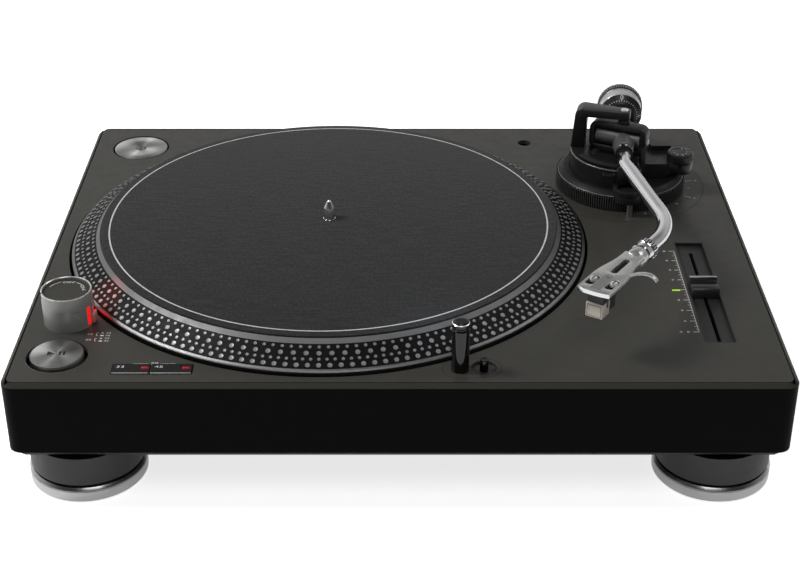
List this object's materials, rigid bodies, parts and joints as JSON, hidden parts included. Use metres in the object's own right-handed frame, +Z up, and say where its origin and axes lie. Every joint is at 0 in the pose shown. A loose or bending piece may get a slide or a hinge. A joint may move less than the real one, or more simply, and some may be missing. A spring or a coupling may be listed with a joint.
{
  "type": "dj turntable",
  "caption": "Direct-drive record player with a strobe-dotted platter and loose mat, an S-shaped tonearm with counterweight, a tempo fader, a pop-up stylus light and adjustable feet.",
  "frame": {"origin": "on the table surface, under the middle of the cabinet", "axes": "+X to the right along the front, +Y to the back, +Z up"},
  "size_m": [0.45, 0.352, 0.1398],
  "materials": {
    "cast_body": "fine matt",
    "deck": "anodised, brushed",
    "base_rubber": "matt",
    "steel": "brushed",
    "chrome": "polished",
    "platter_metal": "turned",
    "mat_felt": "fine weave",
    "magnet": "ground",
    "board": "lacquered",
    "brass": "turned",
    "spun_silver": "spun",
    "dark_metal": "satin",
    "black_plastic": "satin",
    "gloss_black": "polished",
    "red_clear": "clear red",
    "satin_grey": "satin",
    "shell_silver": "satin",
    "cartridge_grey": "satin",
    "light_alloy": "satin",
    "chrome_tube": "polished",
    "dark_plastic": "satin",
    "chrome_ring": "polished"
  },
  "bodies": {
    "cabinet": {"plinth_frame": "cast_body", "top_panel": "deck", "damping_base": "base_rubber", "base_screws": "steel", "stator_board": "board", "bearing_housing": "brass", "indicator_lenses": "red_clear", "tower_base": "dark_metal", "strobe_window": "red_clear", "dial_face": "black_plastic", "control_bezel": "black_plastic", "fader_mechanism": "black_plastic", "arm_mount_plate": "light_alloy", "guide_post": "chrome", "foot_housings": "dark_plastic", "main_board": "board", "power_supply": "steel", "terminal_plate": "steel", "rca_jacks": "brass", "ground_post": "steel", "ac_inlet": "black_plastic"},
    "platter": {"platter": "platter_metal", "rotor_magnet": "magnet", "spindle": "chrome"},
    "slip_mat": {"slip_mat": "mat_felt"},
    "adapter_45": {"adapter_45": "spun_silver"},
    "start_stop_button": {"start_stop_button": "spun_silver"},
    "button_33": {"button_33": "black_plastic"},
    "button_45": {"button_45": "black_plastic"},
    "power_dial": {"power_dial": "satin_grey"},
    "fader_knob": {"fader_knob": "gloss_black"},
    "target_light": {"target_light": "gloss_black"},
    "light_button": {"light_button": "gloss_black"},
    "arm_base": {"arm_base": "light_alloy", "yoke": "light_alloy", "lifter_bracket": "light_alloy", "antiskate_bracket": "light_alloy"},
    "height_ring": {"height_ring": "light_alloy"},
    "antiskate_dial": {"antiskate_dial": "black_plastic"},
    "cue_lever": {"cue_lever": "light_alloy"},
    "lifter_bar": {"lifter_bar": "black_plastic"},
    "rest_clip": {"rest_clip": "black_plastic"},
    "gimbal": {"gimbal_ring": "light_alloy"},
    "tonearm": {"pivot_block": "satin_grey", "arm_tube": "chrome_tube"},
    "locking_nut": {"locking_nut": "satin_grey"},
    "headshell": {"headshell": "shell_silver", "cartridge": "cartridge_grey", "cartridge_screws": "steel"},
    "weight_sleeve": {"weight_sleeve": "black_plastic"},
    "counterweight": {"counterweight": "steel"},
    "force_dial": {"force_dial": "black_plastic"},
    "foot_pad_1": {"foot_pad_1": "base_rubber"},
    "foot_ring_1": {"foot_ring_1": "chrome_ring"},
    "foot_pad_2": {"foot_pad_2": "base_rubber"},
    "foot_ring_2": {"foot_ring_2": "chrome_ring"},
    "foot_pad_3": {"foot_pad_3": "base_rubber"},
    "foot_ring_3": {"foot_ring_3": "chrome_ring"},
    "foot_pad_4": {"foot_pad_4": "base_rubber"},
    "foot_ring_4": {"foot_ring_4": "chrome_ring"}
  },
  "joints": [
    {"name": "platter_spin", "type": "hinge", "parent": "cabinet", "child": "platter", "pos_m": [-0.046, 0.0005, 0.0837], "axis": [0, 0, -1], "continuous": true},
    {"name": "mat_slip", "type": "hinge", "parent": "platter", "child": "slip_mat", "pos_m": [-0.046, 0.0005, 0.0837], "axis": [0, 0, -1], "continuous": true},
    {"name": "adapter_lift", "type": "slide", "parent": "cabinet", "child": "adapter_45", "axis": [0, 0, 1], "range_m": [0, 0.03]},
    {"name": "start_stop_press", "type": "slide", "parent": "cabinet", "child": "start_stop_button", "axis": [0, 0, -1], "range_m": [0, 0.0012], "stiffness_N_per_m": 800, "springref_m": -0.0005},
    {"name": "button_33_press", "type": "slide", "parent": "cabinet", "child": "button_33", "axis": [0, 0, -1], "range_m": [0, 0.0009], "stiffness_N_per_m": 500, "springref_m": -0.0005},
    {"name": "button_45_press", "type": "slide", "parent": "cabinet", "child": "button_45", "axis": [0, 0, -1], "range_m": [0, 0.0009], "stiffness_N_per_m": 500, "springref_m": -0.0005},
    {"name": "power_dial_turn", "type": "hinge", "parent": "cabinet", "child": "power_dial", "pos_m": [-0.1973, -0.105, 0.0837], "axis": [0, 0, -1], "range_deg": [0, 45]},
    {"name": "tempo_fader_slide", "type": "slide", "parent": "cabinet", "child": "fader_knob", "axis": [0, 1, 0], "range_m": [-0.05, 0.048]},
    {"name": "target_light_slide", "type": "slide", "parent": "cabinet", "child": "target_light", "axis": [0, 0, 1], "range_m": [-0.031, 0]},
    {"name": "light_release_press", "type": "slide", "parent": "cabinet", "child": "light_button", "axis": [0, 0, -1], "range_m": [0, 0.0015], "stiffness_N_per_m": 300, "springref_m": -0.0005},
    {"name": "arm_height", "type": "slide", "parent": "cabinet", "child": "arm_base", "axis": [0, 0, 1], "range_m": [0, 0.006]},
    {"name": "height_ring_turn", "type": "hinge", "parent": "arm_base", "child": "height_ring", "pos_m": [0.1532, 0.0805, 0.0837], "axis": [0, 0, 1], "range_deg": [0, 198]},
    {"name": "antiskate_turn", "type": "hinge", "parent": "arm_base", "child": "antiskate_dial", "pos_m": [0.192, 0.071, 0.1065], "axis": [0, 0, 1], "range_deg": [0, 270]},
    {"name": "cue_lever_tilt", "type": "hinge", "parent": "arm_base", "child": "cue_lever", "pos_m": [0.1626, 0.0595, 0.1039], "axis": [1, 0, 0], "range_deg": [0, 60]},
    {"name": "lifter_rise", "type": "slide", "parent": "arm_base", "child": "lifter_bar", "axis": [0, 0, 1], "range_m": [0, 0.00195]},
    {"name": "rest_clip_swing", "type": "hinge", "parent": "arm_base", "child": "rest_clip", "pos_m": [0.14408, 0.04364, 0.1077], "axis": [0, 1, 0], "range_deg": [0, 90]},
    {"name": "arm_swing", "type": "hinge", "parent": "arm_base", "child": "gimbal", "pos_m": [0.1532, 0.0805, 0.1185], "axis": [0, 0, -1], "range_deg": [0, 46]},
    {"name": "arm_lift", "type": "hinge", "parent": "gimbal", "child": "tonearm", "pos_m": [0.1532, 0.0805, 0.1185], "axis": [-0.8988, 0.4384, 0], "range_deg": [-2.6, 3.5]},
    {"name": "locking_nut_turn", "type": "hinge", "parent": "tonearm", "child": "locking_nut", "pos_m": [0.16544, -0.06073, 0.12289], "axis": [-0.5417, -0.8401, 0.0278], "range_deg": [0, 90]},
    {"name": "headshell_pull", "type": "slide", "parent": "tonearm", "child": "headshell", "axis": [-0.5417, -0.8401, 0.0278], "range_m": [0, 0.015]},
    {"name": "weight_travel", "type": "slide", "parent": "tonearm", "child": "weight_sleeve", "axis": [-0.0871, -0.9957, 0.0314], "range_m": [-0.004, 0.0022]},
    {"name": "counterweight_turn", "type": "hinge", "parent": "weight_sleeve", "child": "counterweight", "pos_m": [0.1532, 0.0805, 0.1185], "axis": [-0.0871, -0.9957, 0.0314], "range_deg": [-359, 197]},
    {"name": "force_dial_turn", "type": "hinge", "parent": "weight_sleeve", "child": "force_dial", "pos_m": [0.1532, 0.0805, 0.1185], "axis": [-0.0871, -0.9957, 0.0314], "range_deg": [-180, 180]},
    {"name": "foot_1_height", "type": "slide", "parent": "cabinet", "child": "foot_pad_1", "axis": [0, 0, -1], "range_m": [-0.0015, 0.008]},
    {"name": "foot_1_turn", "type": "hinge", "parent": "foot_pad_1", "child": "foot_ring_1", "pos_m": [-0.1873, -0.139, 0.005], "axis": [0, 0, 1], "range_deg": [-134, 719]},
    {"name": "foot_2_height", "type": "slide", "parent": "cabinet", "child": "foot_pad_2", "axis": [0, 0, -1], "range_m": [-0.0015, 0.008]},
    {"name": "foot_2_turn", "type": "hinge", "parent": "foot_pad_2", "child": "foot_ring_2", "pos_m": [0.1873, -0.139, 0.005], "axis": [0, 0, 1], "range_deg": [-134, 719]},
    {"name": "foot_3_height", "type": "slide", "parent": "cabinet", "child": "foot_pad_3", "axis": [0, 0, -1], "range_m": [-0.0015, 0.008]},
    {"name": "foot_3_turn", "type": "hinge", "parent": "foot_pad_3", "child": "foot_ring_3", "pos_m": [-0.1873, 0.139, 0.005], "axis": [0, 0, 1], "range_deg": [-134, 719]},
    {"name": "foot_4_height", "type": "slide", "parent": "cabinet", "child": "foot_pad_4", "axis": [0, 0, -1], "range_m": [-0.0015, 0.008]},
    {"name": "foot_4_turn", "type": "hinge", "parent": "foot_pad_4", "child": "foot_ring_4", "pos_m": [0.1873, 0.139, 0.005], "axis": [0, 0, 1], "range_deg": [-134, 719]}
  ],
  "couplings": [
    {"joint": "foot_1_height", "follows": "foot_1_turn", "m_per_rad": 0.00063662},
    {"joint": "foot_2_height", "follows": "foot_2_turn", "m_per_rad": 0.00063662},
    {"joint": "foot_3_height", "follows": "foot_3_turn", "m_per_rad": 0.00063662},
    {"joint": "foot_4_height", "follows": "foot_4_turn", "m_per_rad": 0.00063662},
    {"joint": "arm_height", "follows": "height_ring_turn", "m_per_rad": 0.0017345},
    {"joint": "lifter_rise", "follows": "cue_lever_tilt", "m_per_rad": 0.0018144},
    {"joint": "weight_travel", "follows": "counterweight_turn", "m_per_rad": 0.00063662}
  ]
}
